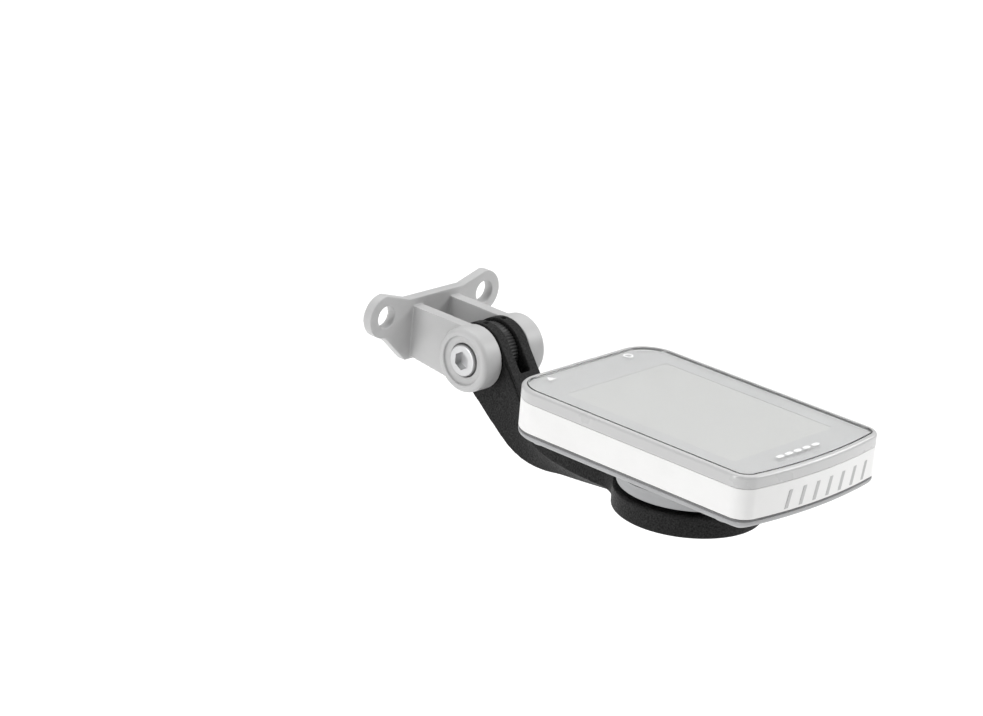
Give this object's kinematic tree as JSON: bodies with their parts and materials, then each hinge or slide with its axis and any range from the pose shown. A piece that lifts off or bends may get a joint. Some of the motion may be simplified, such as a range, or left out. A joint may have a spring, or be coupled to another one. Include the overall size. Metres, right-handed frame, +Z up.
{
  "type": "cycling computer",
  "caption": "Cycling computer with a rounded-corner screen, docked by a quarter-turn foot on an out-front arm that tilts on a clevis hinge in a bracket for a stem's faceplate bolts.",
  "frame": {"origin": "middle of the bracket's rear face, halfway between its two bolt holes", "axes": "+X is the rider's right, +Y is forward along the bicycle, +Z is up"},
  "size_m": [0.0498, 0.1227, 0.0342],
  "materials": {
    "mount_nylon": "fine matte texture",
    "hub_nylon": "satin, fluted rim",
    "bracket_alloy": "bead blasted",
    "steel": "satin",
    "bezel_grey": "gloss",
    "cover_glass": "polished",
    "display": "satin",
    "band_silver": "satin",
    "shell_dark": "fine matte texture",
    "rubber": "matte",
    "button_dark": "satin",
    "board": "satin",
    "tin": "satin",
    "ceramic": "matte",
    "battery_foil": "satin"
  },
  "bodies": {
    "root": {"stem_bracket": "bracket_alloy", "pivot_hub": "hub_nylon", "pivot_bolt": "steel", "pivot_nut": "steel"},
    "arm": {"mount_arm": "mount_nylon"},
    "computer": {"front_bezel": "bezel_grey", "cover_glass": "cover_glass", "mid_band": "band_silver", "case_seal": "rubber", "rear_shell": "shell_dark", "quarter_turn_foot": "mount_nylon", "display_module": "display", "display_carrier": "hub_nylon", "main_board": "board", "shield_can": "tin", "gps_antenna": "ceramic", "battery": "battery_foil", "buzzer": "hub_nylon", "usb_receptacle": "tin", "lap_switch": "hub_nylon", "start_switch": "hub_nylon", "power_switch": "hub_nylon", "pressure_vent": "rubber", "foot_screw_1": "steel", "case_screw_1": "steel", "foot_screw_2": "steel", "case_screw_2": "steel", "foot_screw_3": "steel", "case_screw_3": "steel", "foot_screw_4": "steel", "case_screw_4": "steel"},
    "power_button": {"power_button": "button_dark"},
    "lap_button": {"lap_button": "button_dark"},
    "start_button": {"start_button": "button_dark"},
    "usb_cap": {"usb_cap": "rubber"}
  },
  "joints": [
    {"name": "arm_tilt", "type": "hinge", "parent": "root", "child": "arm", "pos_m": [0, 0.022, -0.0064], "axis": [1, 0, 0], "range_deg": [-35, 45]},
    {"name": "computer_twist", "type": "hinge", "parent": "arm", "child": "computer", "pos_m": [0, 0.086, -0.0198], "axis": [0, 0, 1], "range_deg": [0, 90]},
    {"name": "power_button", "type": "slide", "parent": "computer", "child": "power_button", "axis": [1, 0, 0], "range_m": [0, 0.0005], "stiffness_N_per_m": 1500},
    {"name": "lap_button", "type": "slide", "parent": "computer", "child": "lap_button", "axis": [0, 1, 0], "range_m": [0, 0.0005], "stiffness_N_per_m": 1500},
    {"name": "start_button", "type": "slide", "parent": "computer", "child": "start_button", "axis": [0, 1, 0], "range_m": [0, 0.0005], "stiffness_N_per_m": 1500},
    {"name": "usb_cap", "type": "hinge", "parent": "computer", "child": "usb_cap", "pos_m": [0, 0.0501, -0.0119], "axis": [-1, 0, 0], "range_deg": [0, 95]}
  ]
}
